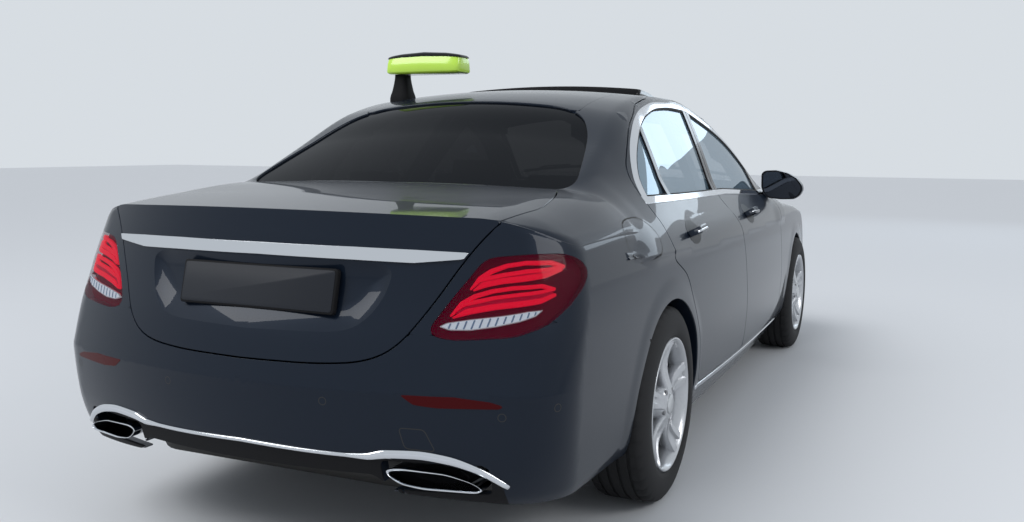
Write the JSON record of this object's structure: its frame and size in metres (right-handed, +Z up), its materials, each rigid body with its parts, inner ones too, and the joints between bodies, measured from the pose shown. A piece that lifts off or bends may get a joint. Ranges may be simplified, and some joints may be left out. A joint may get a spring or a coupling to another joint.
{
  "type": "four-door saloon taxi",
  "caption": "Full-size four-door saloon taxi with hinged doors, bonnet and boot lid, rolling wheels, steered front wheels and a blank roof sign.",
  "frame": {"origin": "on the ground, midway between the bumpers and between the wheels", "axes": "+X to the car's right, +Y forward, +Z up"},
  "size_m": [2.065, 4.923, 1.6189],
  "materials": {
    "paint": "high gloss dark graphite metallic",
    "glass": "clear, slightly green",
    "dark_glass": "dark tinted",
    "chrome": "polished",
    "black_plastic": "satin black",
    "tyre": "matt",
    "rim": "silver painted",
    "steel": "bare",
    "lamp_clear": "clear lens",
    "lamp_red": "dark red lens",
    "underbody": "satin dark",
    "engine": "cast with a black cover",
    "dash": "grained black",
    "seat": "black grained",
    "sign": "lime green, blank"
  },
  "bodies": {
    "car_body": {"cowl": "black_plastic", "dashboard": "dash", "engine_block": "engine", "exhaust": "steel", "floor_pan": "underbody", "front_bumper": "paint", "front_fenders": "paint", "front_seats": "seat", "front_structure": "underbody", "front_subframe": "steel", "grille": "chrome", "headlamps": "lamp_clear", "rear_axle": "steel", "rear_bumper": "paint", "rear_seat": "seat", "rear_tub": "underbody", "rear_window": "dark_glass", "roof_panel": "paint", "side_frame_left": "paint", "side_frame_right": "paint", "sign_foot": "black_plastic", "steering_wheel": "dash", "sunroof_panel": "dark_glass", "tail_lamps": "lamp_red", "taxi_sign": "sign", "windscreen": "glass"},
    "front_door_right": {"front_door_right": "paint", "front_door_glass_right": "glass", "door_mirror_right": "paint"},
    "rear_door_right": {"rear_door_right": "paint", "rear_door_glass_right": "dark_glass"},
    "upright_right": {"knuckle_right": "steel"},
    "front_wheel_right": {"front_tyre_right": "tyre", "front_rim_right": "rim"},
    "rear_wheel_right": {"rear_tyre_right": "tyre", "rear_rim_right": "rim"},
    "front_door_left": {"front_door_left": "paint", "front_door_glass_left": "glass", "door_mirror_left": "paint"},
    "rear_door_left": {"rear_door_left": "paint", "rear_door_glass_left": "dark_glass"},
    "upright_left": {"knuckle_left": "steel"},
    "front_wheel_left": {"front_tyre_left": "tyre", "front_rim_left": "rim"},
    "rear_wheel_left": {"rear_tyre_left": "tyre", "rear_rim_left": "rim"},
    "bonnet": {"bonnet": "paint"},
    "boot_lid": {"boot_lid": "paint"}
  },
  "joints": [
    {"name": "front_door_right_hinge", "type": "hinge", "parent": "car_body", "child": "front_door_right", "pos_m": [0.93, 1.004, 0.6], "axis": [0, 0, 1], "range_deg": [0, 68]},
    {"name": "rear_door_right_hinge", "type": "hinge", "parent": "car_body", "child": "rear_door_right", "pos_m": [0.93, -0.02, 0.6], "axis": [0, 0, 1], "range_deg": [0, 66]},
    {"name": "steer_right", "type": "hinge", "parent": "car_body", "child": "upright_right", "pos_m": [0.7875, 1.6205, 0.339], "axis": [0, 0, 1], "range_deg": [-33, 33]},
    {"name": "front_wheel_right_spin", "type": "hinge", "parent": "upright_right", "child": "front_wheel_right", "pos_m": [0.8025, 1.6205, 0.339], "axis": [1, 0, 0], "continuous": true},
    {"name": "rear_wheel_right_spin", "type": "hinge", "parent": "car_body", "child": "rear_wheel_right", "pos_m": [0.8095, -1.3185, 0.339], "axis": [1, 0, 0], "continuous": true},
    {"name": "front_door_left_hinge", "type": "hinge", "parent": "car_body", "child": "front_door_left", "pos_m": [-0.93, 1.004, 0.6], "axis": [0, 0, -1], "range_deg": [0, 68]},
    {"name": "rear_door_left_hinge", "type": "hinge", "parent": "car_body", "child": "rear_door_left", "pos_m": [-0.93, -0.02, 0.6], "axis": [0, 0, -1], "range_deg": [0, 66]},
    {"name": "steer_left", "type": "hinge", "parent": "car_body", "child": "upright_left", "pos_m": [-0.7875, 1.6205, 0.339], "axis": [0, 0, 1], "range_deg": [-33, 33]},
    {"name": "front_wheel_left_spin", "type": "hinge", "parent": "upright_left", "child": "front_wheel_left", "pos_m": [-0.8025, 1.6205, 0.339], "axis": [1, 0, 0], "continuous": true},
    {"name": "rear_wheel_left_spin", "type": "hinge", "parent": "car_body", "child": "rear_wheel_left", "pos_m": [-0.8095, -1.3185, 0.339], "axis": [1, 0, 0], "continuous": true},
    {"name": "bonnet_hinge", "type": "hinge", "parent": "car_body", "child": "bonnet", "pos_m": [0, 1.112, 1.012], "axis": [1, 0, 0], "range_deg": [0, 50]},
    {"name": "boot_lid_hinge", "type": "hinge", "parent": "car_body", "child": "boot_lid", "pos_m": [0, -1.666, 1.095], "axis": [-1, 0, 0], "range_deg": [0, 75]}
  ],
  "couplings": [
    {"joint": "steer_left", "follows": "steer_right", "ratio": 1}
  ]
}
